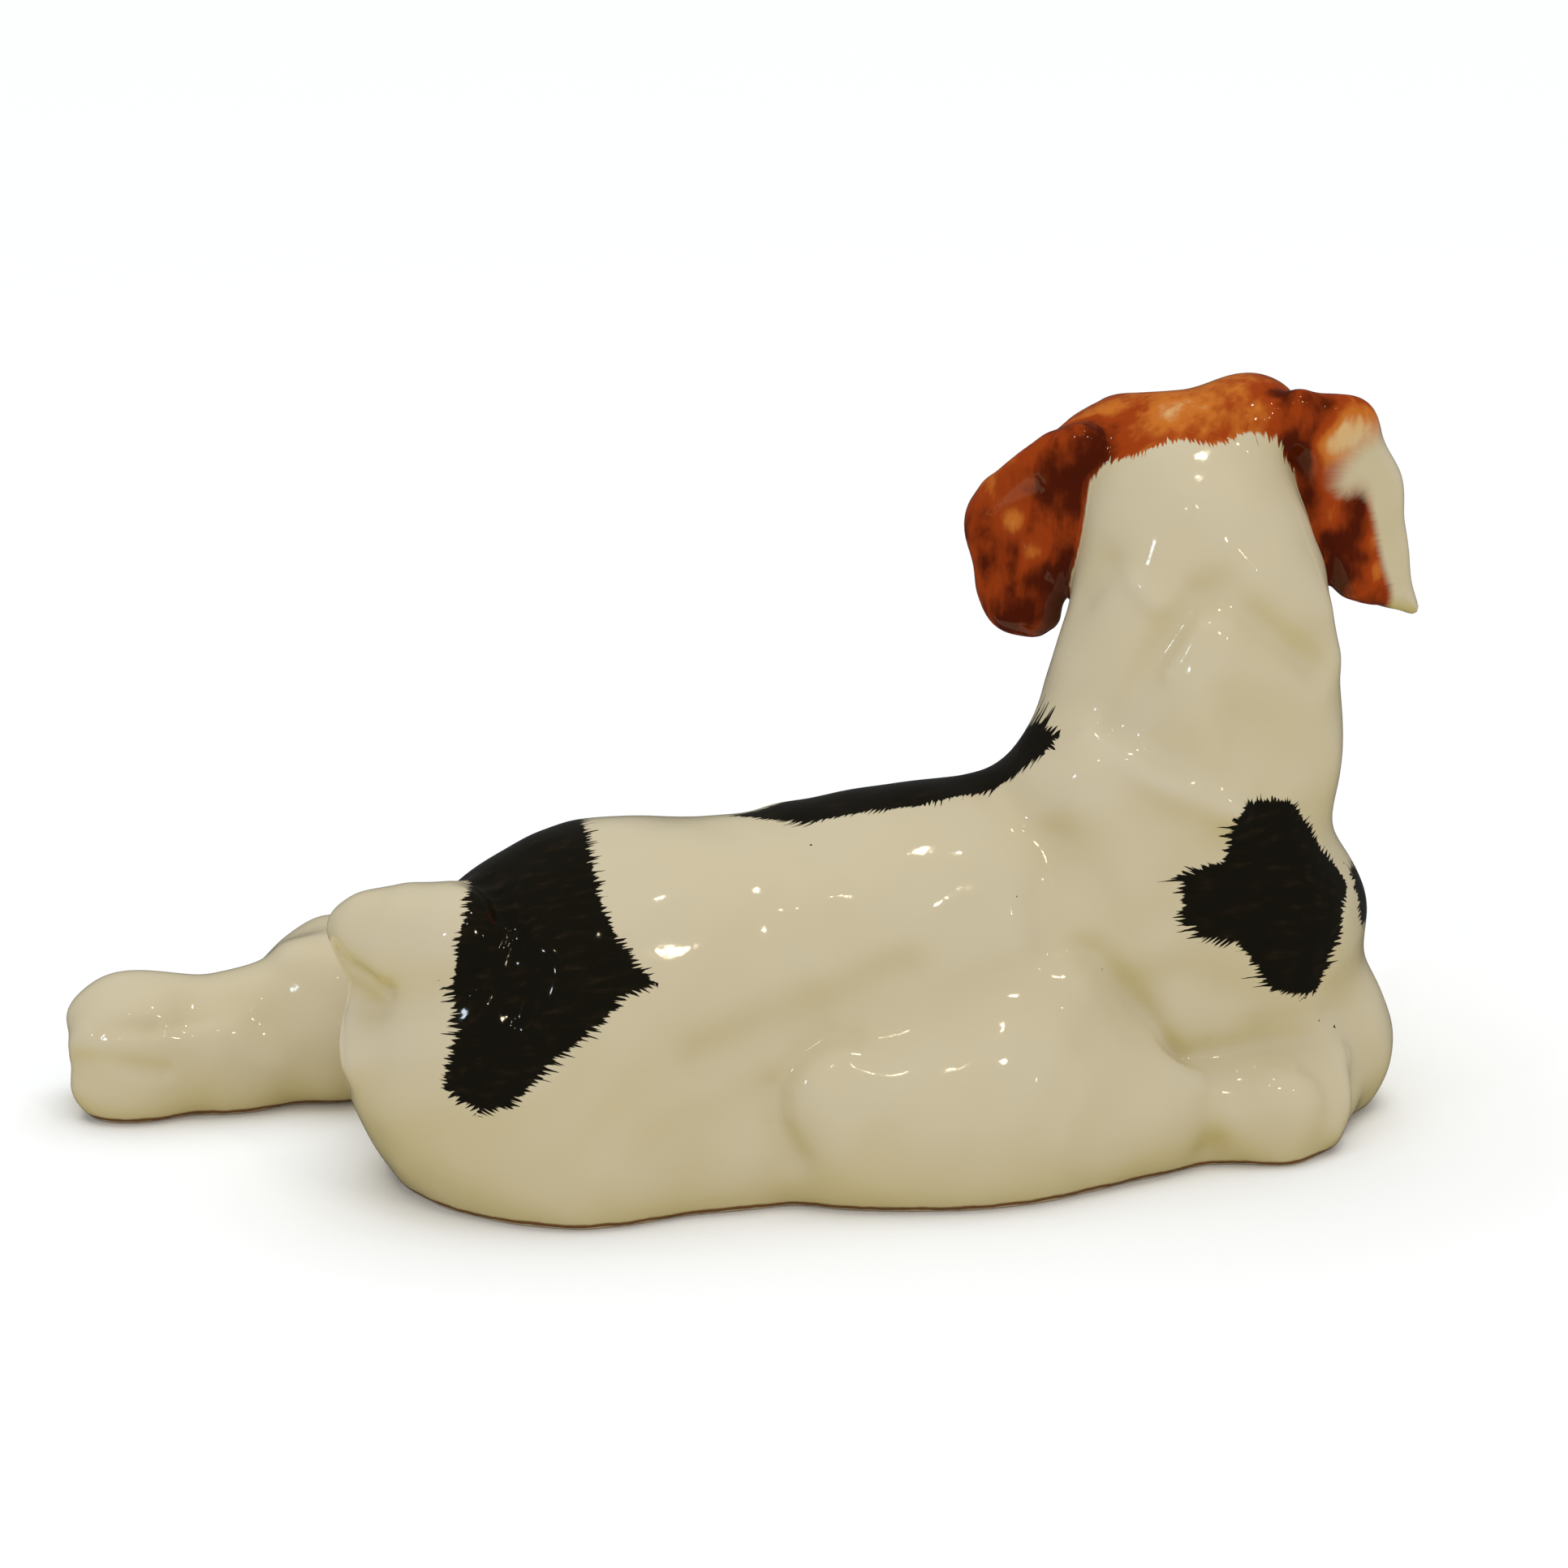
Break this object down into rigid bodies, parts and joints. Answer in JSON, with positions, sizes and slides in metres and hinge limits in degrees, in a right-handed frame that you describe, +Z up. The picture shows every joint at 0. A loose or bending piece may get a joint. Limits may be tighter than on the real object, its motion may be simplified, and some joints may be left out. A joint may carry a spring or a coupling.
{
  "type": "dog figurine",
  "caption": "Glazed earthenware hound puppy lying down with its head turned back over one shoulder, hand painted in black and rust on ivory",
  "frame": {"origin": "middle of the foot that the figurine rests on, under the middle of its bounding box", "axes": "+X the way the dog's chest points, +Y the dog's left, +Z up"},
  "size_m": [0.1644, 0.0778, 0.0878],
  "materials": {
    "ivory_glaze": "clear gloss glaze over ivory earthenware, with brushed black patches",
    "rust_glaze": "clear gloss glaze over rust brown brushwork"
  },
  "bodies": {
    "root": {"body": "ivory_glaze", "head": "ivory_glaze", "right_foreleg": "ivory_glaze", "left_foreleg": "ivory_glaze", "right_hind_leg": "ivory_glaze", "left_hind_leg": "ivory_glaze", "tail": "ivory_glaze", "left_ear": "rust_glaze", "right_ear": "rust_glaze"}
  },
  "joints": []
}
